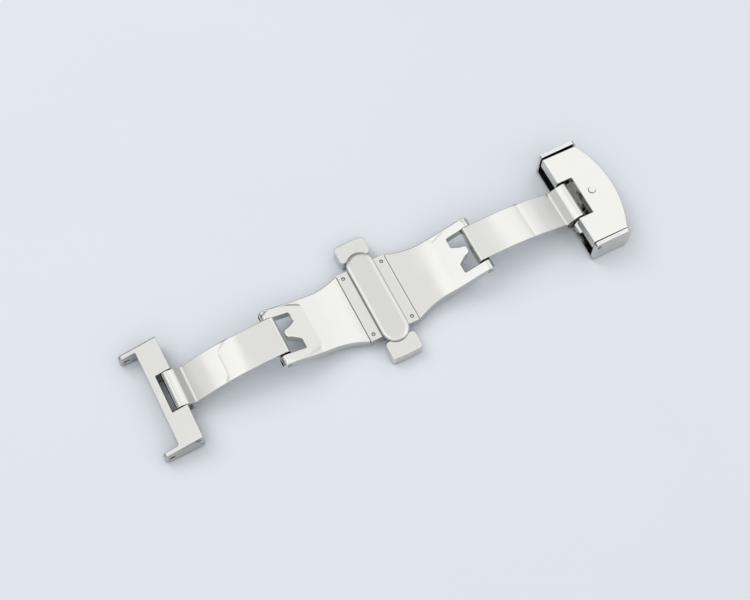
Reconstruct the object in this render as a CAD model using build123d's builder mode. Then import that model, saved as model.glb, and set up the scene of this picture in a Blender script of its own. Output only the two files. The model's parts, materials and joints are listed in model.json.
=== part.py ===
from build123d import *
import os
from math import asin, cos, degrees, radians, sin, sqrt

# Butterfly clasp for a watch strap, open and lying wrist side up, in millimetres.
# X runs along the strap, from the plain strap bar at -X to the curved buckle at +X.
# Y runs across the strap, through both pushers, and Z points to the wrist.
# The origin is the middle of the underside of the lock housing.

# Fits shared by several pieces
running_gap = 0.03
side_gap = 0.08
cut_overrun = 2.0
edge_break = 0.1

# Strap that the clasp takes, and the wall at each end of the strap bar
strap_width = 18.0
bar_ear_thickness = 0.85

# Hinge pins: on the blades, and where they meet under the lock when the clasp is closed
base_pin_x = 18.8
base_pin_radius = 0.45
end_pin_radius = 0.45
pin_end_sink = 0.06
closed_pin_x = 1.14
closed_pin_z = -1.75
bar_pin_z = 3.4
buckle_pin_z = 4.3

# Blades, two curved halves of the base
blade_low_point = 2.15
blade_radius = 50.0
blade_thickness = 1.7
blade_root_half_width = 6.75
blade_waist_half_width = 5.32
blade_waist_share = 0.564
blade_waist_slope_share = -0.42

# Fork at the end of each blade: lengths are measured back from the hinge pin
ear_knuckle_radius = 1.1
ear_bottom_share = 0.4
fork_crease_back = 6.45
fork_tip_overrun = 0.25
window_back = 3.85
window_corner_radius = 0.3
tongue_root_half_width = 1.45
tongue_neck_half_width = 0.95
tongue_neck_back = 2.6
tongue_tip_back = 1.55
tongue_tip_radius = 0.72
relief_depth = 0.12
relief_width = 0.57
relief_back = 1.1

# Catches on the arms, that the pushers hold when the clasp is closed
catch_offset = 0.085
catch_width = 0.75
catch_thickness = 0.8
catch_nose = 0.4
catch_slide_gap = 0.1
catch_head_height = 0.5
catch_head_gap = 0.05
catch_bevel_share = 0.75

# Slides of the pushers, inside the housing
slide_clearance = 0.05
crosshead_inner_y = 1.5
crosshead_thickness = 0.8
crosshead_height = 0.6
crosshead_overhang = 0.15
neck_half_width = 0.7
neck_height = 1.5

# Lock housing: a milled box with a flange over each blade's tongue
floor_thickness = 0.5
flange_thickness = 0.9
flange_width = 1.8
tongue_end_gap = 0.1
hook_window_gap = 0.1
hook_window_swing = 0.7
hook_window_side_gap = 0.2
chamber_swing = 0.35
chamber_end_gap = 0.2
box_wall = 0.45
rail_wall = 0.35
rail_rise = 0.34

# Rivets through the flanges
rivet_radius = 0.25
rivet_recess_radius = 0.32
rivet_recess_depth = 0.14
rivet_end_distance = 1.05

# Pushers
pusher_travel = 1.1
pusher_stop_gap = 0.25
pusher_half_width = 2.8
pusher_depth = 3.3
pusher_crown = 0.16
pusher_bottom = 0.15
pusher_outer_corner = 0.5
pusher_inner_corner = 0.75
pusher_bevel = 0.24

# Cover plate
cover_rail_overhang = 0.15
cover_pusher_overlap = 0.8
cover_pusher_gap = 0.1
cover_thickness = 0.55
cover_edge_radius = 0.24

# Return spring between the two pushers
spring_radius = 0.42
spring_wire_width = 0.16
spring_turns = 4

# Arms: heights are above the line from pin to pin, and offsets are from the outer pin
arm_half_width = 3.42
arm_thickness = 0.75
arm_lip = 1.1
arm_lip_radius = 0.55
arm_start_height = 1.45
arm_rise_height = 1.67
arm_crease_height = 1.34
arm_fall_height = 0.60
arm_bend_drop = 0.45
arm_crease_share = 0.51
arm_crease_radius = 2.0
arm_bend_share = 0.867
arm_under_bend_share = 0.8564
joggle_top_back = 1.2
joggle_top_rise = 0.55
joggle_crest_back = 0.545
joggle_crest_rise = 0.778
joggle_under_back = 0.85
joggle_under_drop = 0.2
joggle_round_radius = 0.3
barrel_radius = 0.95

# Strap bar: lengths are measured outwards from its hinge pin
bar_edge_inset = 1.0
bar_notch_reach = 1.75
bar_low_reach = 2.65
bar_back_reach = 3.15
spring_bar_reach = 4.85
bar_tip_wall = 0.8
bar_edge_rise = 0.95
bar_tip_drop = 0.48
bar_edge_bottom = 0.75
bar_low_bottom = 0.05
bar_tip_bottom = 0.2
bar_edge_chamfer = 0.35
bar_corner_radius = 0.9
bar_under_radius = 0.5
bar_inner_corner_radius = 0.3
bar_end_bevel = 0.12
spring_bar_z = 1.35
spring_bar_radius = 0.5

# Buckle shell: lengths are measured outwards from its hinge pin
shell_front_inset = 0.85
shell_low_reach = 2.6
shell_floor_side_reach = 5.8
shell_wall_reach = 6.2
shell_floor_reach = 7.9
shell_wall_thickness = 0.65
shell_wall_rise = 1.45
shell_floor_top = 0.8
shell_front_bottom = 0.35
shell_back_bottom = 0.5
shell_upper_corner = 0.8
shell_lower_corner = 1.3

# Clamp plate and its strap peg: lengths are measured outwards from the buckle pin
clamp_front_inset = 0.75
clamp_notch_reach = 2.1
clamp_floor_overhang = 0.28
clamp_side_overhang = 0.2
clamp_side_gap = 0.2
clamp_notch_side_gap = 0.26
clamp_thickness = 2.1
clamp_rise = 1.25
clamp_bevel = 0.25
clamp_nose_radius = 0.6
peg_reach = 4.1
peg_shank_radius = 0.55
peg_ring_radius = 0.66
peg_ring_depth = 0.12
peg_radius = 0.9
peg_floor_gap = 0.4
peg_tip_chamfer = 0.25
peg_sink = 0.04


def blade_top_z(x):
    """Height of the upper arc of the blades at x."""
    return blade_centre_z - sqrt(blade_radius**2 - x**2)


def blade_under_z(x):
    """Height of the lower arc of the blades at x."""
    return blade_centre_z - sqrt(blade_under_radius**2 - x**2)


# Worked out: the catches and what has to clear them, from the middle of the lock outwards
catch_x = closed_pin_x + catch_offset
catch_inner_x = catch_x - catch_width / 2
catch_outer_x = catch_x + catch_width / 2
crosshead_outer_y = crosshead_inner_y + crosshead_thickness
catch_inner_y = crosshead_outer_y + catch_slide_gap
catch_nose_y = catch_inner_y - catch_nose
catch_outer_y = catch_inner_y + catch_thickness
crosshead_half_width = catch_outer_x + crosshead_overhang
hook_window_inner_x = catch_inner_x - hook_window_gap
hook_window_outer_x = catch_outer_x + hook_window_swing
hook_window_inner_y = catch_nose_y - hook_window_gap
hook_window_outer_y = catch_outer_y + hook_window_side_gap
chamber_half_width = catch_outer_x + chamber_swing
chamber_half_length = hook_window_outer_y + chamber_end_gap
channel_half_width = neck_half_width + slide_clearance
rail_half_width = chamber_half_width + rail_wall
box_half_width = hook_window_outer_x + box_wall

# Worked out: the curves of the base and the heights of the lock
blade_centre_z = blade_low_point + blade_radius
blade_under_radius = blade_radius + blade_thickness
blade_joint_x = box_half_width + flange_width
blade_crease_x = base_pin_x - fork_crease_back
base_pin_z = blade_top_z(base_pin_x) - ear_knuckle_radius
strip_top = blade_top_z(blade_joint_x)
flange_bottom = strip_top - flange_thickness
rail_top = strip_top + rail_rise
tongue_end_x = box_half_width + tongue_end_gap
slide_bottom = floor_thickness + slide_clearance
crosshead_top = slide_bottom + crosshead_height
rivet_x = (box_half_width + blade_joint_x) / 2
rivet_y = blade_root_half_width - rivet_end_distance
pusher_inner_y = blade_root_half_width + pusher_travel + pusher_stop_gap
pusher_outer_y = pusher_inner_y + pusher_depth
pusher_top = rail_top - cover_pusher_gap
cover_length = 2 * (pusher_inner_y + cover_pusher_overlap)
cover_width = 2 * (rail_half_width + cover_rail_overhang)
ear_inner_half_width = arm_half_width + side_gap
window_x = base_pin_x - window_back
tongue_neck_x = base_pin_x - tongue_neck_back
tongue_tip_x = base_pin_x - tongue_tip_back
fork_tip_x = base_pin_x + ear_knuckle_radius + fork_tip_overrun
relief_x = base_pin_x - relief_back
relief_y = blade_waist_half_width - relief_width

# Worked out: the arms reach from the blade's pin to the closed pin, and open to the outer pins
arm_length = sqrt((base_pin_x - closed_pin_x) ** 2 + (base_pin_z - closed_pin_z) ** 2)
outer_pin_z = {-1: bar_pin_z, 1: buckle_pin_z}
arm_tilt = {side: degrees(asin((base_pin_z - outer_pin_z[side]) / arm_length)) for side in (-1, 1)}
closed_tilt = degrees(asin((base_pin_z - closed_pin_z) / arm_length))
arm_swing = {side: 180 - closed_tilt - arm_tilt[side] for side in (-1, 1)}
bar_pin_x = -base_pin_x - arm_length * cos(radians(arm_tilt[-1]))
buckle_pin_x = base_pin_x + arm_length * cos(radians(arm_tilt[1]))
outer_pin_x = {-1: bar_pin_x, 1: buckle_pin_x}

# Worked out: the end pieces from their pins
end_half_width = strap_width / 2 + bar_ear_thickness
bar_edge_x = bar_pin_x + bar_edge_inset
bar_edge_top = bar_pin_z + bar_edge_rise
bar_tip_top = bar_pin_z - bar_tip_drop
bar_notch_half_width = arm_half_width + side_gap
bar_notch_x = bar_pin_x - bar_notch_reach
bar_low_x = bar_pin_x - bar_low_reach
bar_back_x = bar_pin_x - bar_back_reach
spring_bar_x = bar_pin_x - spring_bar_reach
bar_tip_x = spring_bar_x - spring_bar_radius - bar_tip_wall
shell_front_x = buckle_pin_x - shell_front_inset
shell_low_x = buckle_pin_x + shell_low_reach
shell_floor_side_x = buckle_pin_x + shell_floor_side_reach
shell_floor_back_x = buckle_pin_x + shell_floor_reach
shell_wall_back_x = buckle_pin_x + shell_wall_reach
shell_wall_top = buckle_pin_z + shell_wall_rise
clamp_front_x = buckle_pin_x - clamp_front_inset
clamp_side_x = shell_floor_side_x + clamp_side_overhang
clamp_back_x = shell_floor_back_x + clamp_floor_overhang
clamp_top = buckle_pin_z + clamp_rise
clamp_bottom = clamp_top - clamp_thickness
clamp_half_width = end_half_width - shell_wall_thickness - clamp_side_gap
clamp_notch_half_width = arm_half_width + clamp_notch_side_gap
peg_x = buckle_pin_x + peg_reach

print("outer pins x", outer_pin_x, "z", outer_pin_z)
print("arm swing", arm_swing, "closed tilt", closed_tilt)

os.makedirs("parts", exist_ok=True)


def save(part, name):
    """Labels a finished piece and writes it under its own name."""
    part.label = name
    export_step(part, f"parts/{name}.step")


def ear_tangent():
    """Where the straight top of the fork meets the round of the ear."""
    run = base_pin_x - blade_crease_x
    rise = base_pin_z - blade_top_z(blade_crease_x)
    reach = sqrt(run**2 + rise**2)
    angle = asin(rise / reach) + asin(ear_knuckle_radius / reach)
    return (
        base_pin_x - ear_knuckle_radius * sin(angle),
        base_pin_z + ear_knuckle_radius * cos(angle),
    )


def blade(side):
    """Half of the base: an arc in side view, with a waist, a window and two ears in plan."""
    ear_bottom_x = base_pin_x - ear_bottom_share * ear_knuckle_radius
    middle_x = (blade_joint_x + blade_crease_x) / 2
    under_x = (tongue_end_x + ear_bottom_x) / 2
    top_joint = (side * blade_joint_x, blade_top_z(blade_joint_x))
    top_crease = (side * blade_crease_x, blade_top_z(blade_crease_x))
    tangent_x, tangent_z = ear_tangent()
    top_ear = (side * tangent_x, tangent_z)
    pin = (side * base_pin_x, base_pin_z)
    ear_bottom = (side * ear_bottom_x, blade_under_z(ear_bottom_x))
    tongue_bottom = (side * tongue_end_x, blade_under_z(tongue_end_x))
    tongue_top = (side * tongue_end_x, flange_bottom)
    joint_step = (side * blade_joint_x, flange_bottom)
    with BuildPart() as piece:
        with BuildSketch(Plane.XZ):
            with BuildLine():
                ThreePointArc(top_joint, (side * middle_x, blade_top_z(middle_x)), top_crease)
                Polyline(top_crease, top_ear, pin, ear_bottom)
                ThreePointArc(ear_bottom, (side * under_x, blade_under_z(under_x)), tongue_bottom)
                Polyline(tongue_bottom, tongue_top, joint_step, top_joint)
            make_face()
            with Locations(pin):
                Circle(ear_knuckle_radius)
        extrude(amount=blade_root_half_width, both=True)
        # Plan outline, cut through the side view
        with BuildSketch(Plane.XY):
            with BuildLine():
                root = (side * blade_joint_x, blade_root_half_width)
                waist = (side * blade_waist_share * base_pin_x, blade_waist_half_width)
                Line((side * tongue_end_x, 0), (side * tongue_end_x, blade_root_half_width))
                Line((side * tongue_end_x, blade_root_half_width), root)
                Spline(root, waist, tangents=[(side, blade_waist_slope_share), (side, 0)])
                Line(waist, (side * fork_tip_x, blade_waist_half_width))
                Line((side * fork_tip_x, blade_waist_half_width), (side * fork_tip_x, 0))
                mirror(about=Plane.XZ)
            make_face()
        extrude(amount=2 * base_pin_z, mode=Mode.INTERSECT)
        # Window between the ears, open at the tips
        with BuildSketch(Plane.XY):
            window_length = base_pin_x + 2 * ear_knuckle_radius - window_x
            with Locations((side * (window_x + window_length / 2), 0)):
                Rectangle(window_length, 2 * ear_inner_half_width)
            corners = vertices().sort_by(Axis.X)
            fillet(corners[:2] if side > 0 else corners[-2:], radius=window_corner_radius)
            with BuildSketch(Plane.XY, mode=Mode.SUBTRACT):
                tip_centre_x = tongue_tip_x - tongue_tip_radius
                with BuildLine():
                    Polyline(
                        (side * window_x, 0),
                        (side * window_x, tongue_root_half_width),
                        (side * tongue_neck_x, tongue_neck_half_width),
                        (side * tip_centre_x, tongue_tip_radius),
                        (side * tip_centre_x, 0),
                    )
                    mirror(about=Plane.XZ)
                make_face()
                with Locations((side * tip_centre_x, 0)):
                    Circle(tongue_tip_radius)
        extrude(amount=2 * base_pin_z, mode=Mode.SUBTRACT)
        # Bores for the hinge pin and the two rivets
        with BuildSketch(Plane.XZ):
            with Locations(pin):
                Circle(base_pin_radius)
        extrude(amount=blade_root_half_width, both=True, mode=Mode.SUBTRACT)
        with BuildSketch(Plane.XY):
            with Locations((side * rivet_x, rivet_y), (side * rivet_x, -rivet_y)):
                Circle(rivet_radius)
        extrude(amount=flange_bottom, mode=Mode.SUBTRACT)
        # Shallow relief along the outer edge of each ear
        for y in (relief_y, -relief_y - blade_waist_half_width):
            with BuildSketch(Plane.XZ.offset(-y)):
                with BuildLine():
                    relief_top = top_ear[1] + cut_overrun
                    Polyline(
                        (top_crease[0], top_crease[1] - relief_depth),
                        (side * relief_x, fork_top_z(relief_x) - relief_depth),
                        (side * relief_x, relief_top),
                        (top_crease[0], relief_top),
                        close=True,
                    )
                make_face()
            extrude(amount=-blade_waist_half_width, mode=Mode.SUBTRACT)
    return piece.part


def fork_top_z(x):
    """Height of the straight top of the fork, from the crease to the ear."""
    tangent_x, tangent_z = ear_tangent()
    crease_z = blade_top_z(blade_crease_x)
    return crease_z + (tangent_z - crease_z) * (x - blade_crease_x) / (tangent_x - blade_crease_x)


save(blade(-1), "left_blade")
save(blade(1), "right_blade")

# Lock housing, one cross section with a channel, a chamber and hook windows milled into it
with BuildPart() as lock_housing:
    with BuildSketch(Plane.XZ):
        Rectangle(2 * box_half_width, strip_top, align=(Align.CENTER, Align.MIN))
        Rectangle(2 * rail_half_width, rail_top, align=(Align.CENTER, Align.MIN))
        with Locations((0, flange_bottom)):
            Rectangle(2 * blade_joint_x, flange_thickness, align=(Align.CENTER, Align.MIN))
    extrude(amount=blade_root_half_width, both=True)
    chamber_height = rail_top - floor_thickness
    with BuildSketch(Plane.XY.offset(floor_thickness)):
        Rectangle(2 * channel_half_width, 2 * blade_root_half_width)
        Rectangle(2 * chamber_half_width, 2 * chamber_half_length)
    extrude(amount=chamber_height, mode=Mode.SUBTRACT)
    with BuildSketch(Plane.XY):
        window_span = hook_window_outer_x - hook_window_inner_x
        window_depth = hook_window_outer_y - hook_window_inner_y
        with GridLocations(
            hook_window_inner_x + hook_window_outer_x,
            hook_window_inner_y + hook_window_outer_y,
            2,
            2,
        ):
            Rectangle(window_span, window_depth)
    extrude(amount=floor_thickness, mode=Mode.SUBTRACT)
    with Locations(Plane.XY.offset(strip_top)):
        with GridLocations(2 * rivet_x, 2 * rivet_y, 2, 2):
            CounterBoreHole(rivet_radius, rivet_recess_radius, rivet_recess_depth)
save(lock_housing.part, "lock_housing")

# Four rivets, pressed through the flanges and the tongues of the blades
with BuildPart() as flange_rivets:
    rivet_bottom = blade_under_z(rivet_x)
    with BuildSketch(Plane.XY.offset(rivet_bottom)):
        with GridLocations(2 * rivet_x, 2 * rivet_y, 2, 2):
            Circle(rivet_radius)
    extrude(amount=strip_top - rivet_recess_depth - rivet_bottom)
save(flange_rivets.part, "flange_rivets")

# Cover plate, a round-ended plate on the rails of the housing
with BuildPart() as cover_plate:
    with BuildSketch(Plane.XY.offset(rail_top)):
        SlotOverall(cover_length, cover_width, rotation=90)
    extrude(amount=cover_thickness)
    fillet(faces().sort_by(Axis.Z)[-1].edges(), radius=cover_edge_radius)
save(cover_plate.part, "cover_plate")


def hinge_pin(x, z, radius, half_length):
    """A plain pin along Y."""
    with BuildPart() as pin:
        with BuildSketch(Plane.XZ):
            with Locations((x, z)):
                Circle(radius)
        extrude(amount=half_length, both=True)
    return pin.part


base_pin_half_length = blade_waist_half_width - pin_end_sink
save(hinge_pin(-base_pin_x, base_pin_z, base_pin_radius, base_pin_half_length), "left_hinge_pin")
save(hinge_pin(base_pin_x, base_pin_z, base_pin_radius, base_pin_half_length), "right_hinge_pin")


def pusher(side):
    """A pusher head with the neck and crosshead that slide in the housing, on the Y side given."""
    with BuildPart() as piece:
        with BuildSketch(Plane.XY.offset(pusher_bottom)):
            with BuildLine():
                inner_left = (-pusher_half_width, side * pusher_inner_y)
                inner_right = (pusher_half_width, side * pusher_inner_y)
                outer_left = (-pusher_half_width, side * pusher_outer_y)
                outer_right = (pusher_half_width, side * pusher_outer_y)
                Polyline(outer_left, inner_left, inner_right, outer_right)
                ThreePointArc(outer_right, (0, side * (pusher_outer_y + pusher_crown)), outer_left)
            make_face()
            corners = vertices().sort_by(Axis.Y)
            inner_corners = corners[:2] if side > 0 else corners[-2:]
            outer_corners = corners[-2:] if side > 0 else corners[:2]
            fillet(inner_corners, radius=pusher_inner_corner)
            fillet(outer_corners, radius=pusher_outer_corner)
        extrude(amount=pusher_top - pusher_bottom)
        chamfer(faces().sort_by(Axis.Z)[-1].edges(), length=pusher_bevel)
        with BuildSketch(Plane.XY.offset(slide_bottom)):
            with Locations((0, side * (crosshead_inner_y + pusher_inner_y + pusher_bevel) / 2)):
                Rectangle(2 * neck_half_width, pusher_inner_y + pusher_bevel - crosshead_inner_y)
        extrude(amount=neck_height)
        with BuildSketch(Plane.XY.offset(slide_bottom)):
            with Locations((0, side * (crosshead_inner_y + crosshead_outer_y) / 2)):
                Rectangle(2 * crosshead_half_width, crosshead_outer_y - crosshead_inner_y)
        extrude(amount=crosshead_height)
    return piece.part


save(pusher(-1), "front_pusher")
save(pusher(1), "rear_pusher")

# Return spring between the necks, one unbroken coil along Y
with BuildPart() as return_spring:
    spring_length = 2 * (crosshead_inner_y - slide_clearance) - spring_wire_width
    spring_z = slide_bottom + neck_height / 2
    with BuildLine() as coil_path:
        coil = Helix(
            pitch=spring_length / spring_turns,
            height=spring_length,
            radius=spring_radius,
            center=(0, -spring_length / 2, spring_z),
            direction=(0, 1, 0),
        )
    coil_centre = Vector(0, -spring_length / 2, spring_z)
    with BuildSketch(Plane(origin=coil @ 0, x_dir=coil @ 0 - coil_centre, z_dir=coil % 0)):
        Rectangle(spring_wire_width, spring_wire_width)
    sweep(path=coil, is_frenet=True)
print("spring gap between turns", spring_length / spring_turns - spring_wire_width)
save(return_spring.part, "return_spring")


def arm_plane(side):
    """The side view of an arm: origin on its inner pin, X along the line to its outer pin."""
    tilt = radians(arm_tilt[side])
    return Plane(
        origin=(side * base_pin_x, 0, base_pin_z),
        x_dir=(side * cos(tilt), 0, -sin(tilt)),
        z_dir=(0, -side, 0),
    )


def arm(side):
    """A folding arm: a curved plate with a crease, a joggle and a rolled barrel at its outer end."""
    crease_x = arm_crease_share * arm_length
    bend_x = arm_bend_share * arm_length
    under_bend_x = arm_under_bend_share * arm_length
    rise_x = (crease_x - arm_lip) / 2
    fall_x = (crease_x + bend_x) / 2
    under = -arm_thickness
    lip_top = (-arm_lip, arm_start_height)
    lip_under = (-arm_lip, arm_start_height + under)
    crease_top = (crease_x, arm_crease_height)
    crease_under = (crease_x, arm_crease_height + under)
    bend_top = (bend_x, -arm_bend_drop)
    bend_under = (under_bend_x, -arm_bend_drop + under)
    joggle_top = (arm_length - joggle_top_back, joggle_top_rise)
    joggle_crest = (arm_length - joggle_crest_back, joggle_crest_rise)
    joggle_under = (arm_length - joggle_under_back, -joggle_under_drop)
    with BuildPart() as piece:
        with BuildSketch(arm_plane(side)):
            with BuildLine():
                ThreePointArc(lip_top, (rise_x, arm_rise_height), crease_top)
                ThreePointArc(crease_top, (fall_x, arm_fall_height), bend_top)
                Polyline(
                    bend_top,
                    joggle_top,
                    joggle_crest,
                    (arm_length, 0),
                    joggle_under,
                    bend_under,
                )
                ThreePointArc(bend_under, (fall_x, arm_fall_height + under), crease_under)
                ThreePointArc(crease_under, (rise_x, arm_rise_height + under), lip_under)
                Line(lip_under, lip_top)
            make_face()
            with Locations((-arm_lip / 2, arm_start_height / 2)):
                Rectangle(arm_lip, arm_start_height - arm_lip_radius)
            Circle(arm_lip)
            with Locations((arm_length, 0)):
                Circle(barrel_radius)
            lip_corner = vertices().sort_by_distance(Vertex(*lip_top, 0))[0]
            fillet(lip_corner, radius=arm_lip_radius)
            joggle_corner = vertices().sort_by_distance(Vertex(*joggle_top, 0))[0]
            fillet(joggle_corner, radius=joggle_round_radius)
            for corner in (crease_top, crease_under):
                crease_corner = vertices().sort_by_distance(Vertex(*corner, 0))[0]
                fillet(crease_corner, radius=arm_crease_radius)
        extrude(amount=arm_half_width, both=True)
        rim = []
        for y in (-arm_half_width, arm_half_width):
            for x, height in ((rise_x, arm_rise_height), (fall_x, arm_fall_height)):
                point = arm_plane(side).from_local_coords((x, height, y))
                rim += piece.edges().sort_by_distance(point)[:1]
        chamfer(rim, length=edge_break)
        with BuildSketch(arm_plane(side)):
            Circle(base_pin_radius + running_gap)
            with Locations((arm_length, 0)):
                Circle(end_pin_radius + running_gap)
        extrude(amount=arm_half_width, both=True, mode=Mode.SUBTRACT)
    return piece.part


save(arm(-1), "left_arm")
save(arm(1), "right_arm")


def opened(side, x, z):
    """Where a point of the closed clasp, given for the +X arm, lies on the open arm of a side."""
    swing = radians(arm_swing[side])
    dx = x - base_pin_x
    dz = z - base_pin_z
    open_x = base_pin_x + dx * cos(swing) - dz * sin(swing)
    open_z = base_pin_z + dx * sin(swing) + dz * cos(swing)
    return (side * open_x, 0, open_z)


def catches(side):
    """Two hooks on the barrel of an arm, drawn upright as they stand in the closed clasp."""
    swing = radians(arm_swing[side])
    up = (-side * sin(swing), 0, cos(swing))
    head_bottom = crosshead_top + catch_head_gap
    head_top = head_bottom + catch_head_height
    nose_top = head_bottom + catch_head_height * (1 - catch_bevel_share)
    crown_y = catch_nose_y + catch_head_height * catch_bevel_share
    with BuildPart() as piece:
        with BuildSketch(
            Plane(
                origin=opened(side, (catch_inner_x + catch_outer_x) / 2, 0),
                x_dir=(0, 1, 0),
                z_dir=(up[2], 0, -up[0]),
            )
        ):
            with BuildLine():
                Polyline(
                    (catch_outer_y, closed_pin_z),
                    (catch_outer_y, head_top),
                    (crown_y, head_top),
                    (catch_nose_y, nose_top),
                    (catch_nose_y, head_bottom),
                    (catch_inner_y, head_bottom),
                    (catch_inner_y, closed_pin_z),
                    close=True,
                )
            make_face()
            mirror(about=Plane.YZ)
        extrude(amount=(catch_outer_x - catch_inner_x) / 2, both=True)
        with BuildSketch(Plane.XZ):
            with Locations((outer_pin_x[side], outer_pin_z[side])):
                Circle(barrel_radius)
        extrude(amount=arm_half_width, both=True, mode=Mode.SUBTRACT)
    return piece.part


save(catches(-1), "left_catches")
save(catches(1), "right_catches")

# Strap bar: a solid T with a notch for the arm and an ear at each end for the spring bar
with BuildPart() as strap_bar:
    with BuildSketch(Plane.XZ):
        with BuildLine():
            edge_bottom = (bar_edge_x, bar_edge_bottom)
            tip_bottom = (bar_tip_x, bar_tip_bottom)
            tip_top = (bar_tip_x, bar_tip_top)
            Polyline(edge_bottom, (bar_edge_x, bar_edge_top), tip_top, tip_bottom)
            ThreePointArc(tip_bottom, (bar_low_x, bar_low_bottom), edge_bottom)
        make_face()
        bar_corners = vertices().sort_by(Axis.X)
        fillet(bar_corners[:2], radius=bar_corner_radius)
        lower_edge, upper_edge = vertices().sort_by(Axis.X)[-2:].sort_by(Axis.Y)
        fillet(lower_edge, radius=bar_under_radius)
        chamfer(upper_edge, length=bar_edge_chamfer)
    extrude(amount=end_half_width, both=True)
    bar_ends = strap_bar.faces().filter_by(Plane.XZ)
    chamfer([edge for end in bar_ends for edge in end.edges()], length=bar_end_bevel)
    with BuildSketch(Plane.XY):
        ear_length = bar_back_x - bar_tip_x
        with Locations((bar_back_x - ear_length / 2, 0)):
            Rectangle(ear_length, strap_width)
        inner_corners = vertices().sort_by(Axis.X)[-2:]
        fillet(inner_corners, radius=bar_inner_corner_radius)
        with Locations((bar_notch_x, 0)):
            Rectangle(
                bar_edge_x - bar_notch_x,
                2 * bar_notch_half_width,
                align=(Align.MIN, Align.CENTER),
            )
    extrude(amount=bar_edge_top + cut_overrun, mode=Mode.SUBTRACT)
    with BuildSketch(Plane.XZ):
        with Locations((bar_pin_x, bar_pin_z)):
            Circle(end_pin_radius)
        with Locations((spring_bar_x, spring_bar_z)):
            Circle(spring_bar_radius)
    extrude(amount=end_half_width, both=True, mode=Mode.SUBTRACT)
save(strap_bar.part, "strap_bar")
end_pin_half_length = end_half_width - pin_end_sink
save(hinge_pin(bar_pin_x, bar_pin_z, end_pin_radius, end_pin_half_length), "strap_bar_pin")


def shell_bottom_arc():
    """Three points of the gently bulged outer face of the buckle, in side view."""
    return (
        (shell_front_x, shell_front_bottom),
        (shell_low_x, 0),
        (shell_floor_back_x, shell_back_bottom),
    )


# Buckle shell: a bulged D-shaped floor between two end walls
with BuildPart() as buckle_shell:
    with BuildSketch(Plane.XZ):
        with BuildLine():
            front, low, back = shell_bottom_arc()
            ThreePointArc(front, low, back)
            Polyline(
                back,
                (shell_floor_back_x, shell_floor_top),
                (shell_front_x, shell_floor_top),
                front,
            )
        make_face()
    extrude(amount=end_half_width, both=True)
    with BuildSketch(Plane.XY):
        with BuildLine():
            side_back = (shell_floor_side_x, end_half_width)
            side_front = (shell_floor_side_x, -end_half_width)
            ThreePointArc(side_back, (shell_floor_back_x, 0), side_front)
            Polyline(
                side_front,
                (shell_front_x, -end_half_width),
                (shell_front_x, end_half_width),
                side_back,
            )
        make_face()
    extrude(amount=shell_wall_top, mode=Mode.INTERSECT)
    for wall_y in (-end_half_width, end_half_width - shell_wall_thickness):
        with BuildSketch(Plane.XZ.offset(-wall_y)):
            with BuildLine():
                Polyline(
                    (shell_front_x, 0),
                    (shell_front_x, shell_wall_top),
                    (shell_wall_back_x, shell_wall_top),
                    (shell_wall_back_x, 0),
                    close=True,
                )
            make_face()
            wall_corners = vertices().group_by(Axis.Y)
            fillet(wall_corners[-1], radius=shell_upper_corner)
            fillet(vertices().group_by(Axis.Y)[0], radius=shell_lower_corner)
        extrude(amount=-shell_wall_thickness)
    with BuildSketch(Plane.XZ):
        with Locations((buckle_pin_x, buckle_pin_z)):
            Circle(end_pin_radius)
    extrude(amount=end_half_width, both=True, mode=Mode.SUBTRACT)
save(buckle_shell.part, "buckle_shell")
save(hinge_pin(buckle_pin_x, buckle_pin_z, end_pin_radius, end_pin_half_length), "buckle_hinge_pin")

# Clamp plate: a D-shaped lid on the buckle pin, notched for the arm, that pinches the strap
with BuildPart() as clamp_plate:
    with BuildSketch(Plane.XZ):
        with Locations((clamp_front_x, clamp_bottom)):
            Rectangle(
                clamp_back_x - clamp_front_x,
                clamp_thickness,
                align=(Align.MIN, Align.MIN),
            )
        nose = vertices().sort_by(Axis.X)[:2].sort_by(Axis.Y)[0]
        fillet(nose, radius=clamp_nose_radius)
    extrude(amount=clamp_half_width, both=True)
    with BuildSketch(Plane.XY.offset(clamp_bottom)):
        with BuildLine():
            side_back = (clamp_side_x, clamp_half_width)
            side_front = (clamp_side_x, -clamp_half_width)
            ThreePointArc(side_back, (clamp_back_x, 0), side_front)
            Polyline(
                side_front,
                (clamp_front_x, -clamp_half_width),
                (clamp_front_x, clamp_half_width),
                side_back,
            )
        make_face()
        with Locations((clamp_front_x, 0)):
            Rectangle(
                clamp_notch_reach + clamp_front_inset,
                2 * clamp_notch_half_width,
                align=(Align.MIN, Align.CENTER),
                mode=Mode.SUBTRACT,
            )
    extrude(amount=clamp_thickness, mode=Mode.INTERSECT)
    chamfer(faces().sort_by(Axis.Z)[-1].edges(), length=clamp_bevel)
    with BuildSketch(Plane.XZ):
        with Locations((buckle_pin_x, buckle_pin_z)):
            Circle(end_pin_radius + running_gap)
    extrude(amount=clamp_half_width, both=True, mode=Mode.SUBTRACT)
    with Locations((peg_x, 0, clamp_top)):
        CounterBoreHole(peg_shank_radius, peg_ring_radius, peg_ring_depth)
save(clamp_plate.part, "clamp_plate")

# Strap peg, riveted into the clamp plate and pointing into the strap's hole
with BuildPart() as strap_peg:
    with BuildSketch(Plane.XY.offset(clamp_bottom)):
        with Locations((peg_x, 0)):
            Circle(peg_shank_radius)
    extrude(amount=clamp_thickness - peg_sink)
    with BuildSketch(Plane.XY.offset(clamp_bottom)):
        with Locations((peg_x, 0)):
            Circle(peg_radius)
    extrude(amount=-(clamp_bottom - shell_floor_top - peg_floor_gap))
    chamfer(faces().sort_by(Axis.Z)[0].edges(), length=peg_tip_chamfer)
save(strap_peg.part, "strap_peg")
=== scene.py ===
"""Butterfly clasp: the visual model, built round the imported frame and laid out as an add-on."""

import json
from math import cos, pi, radians, sin

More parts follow.
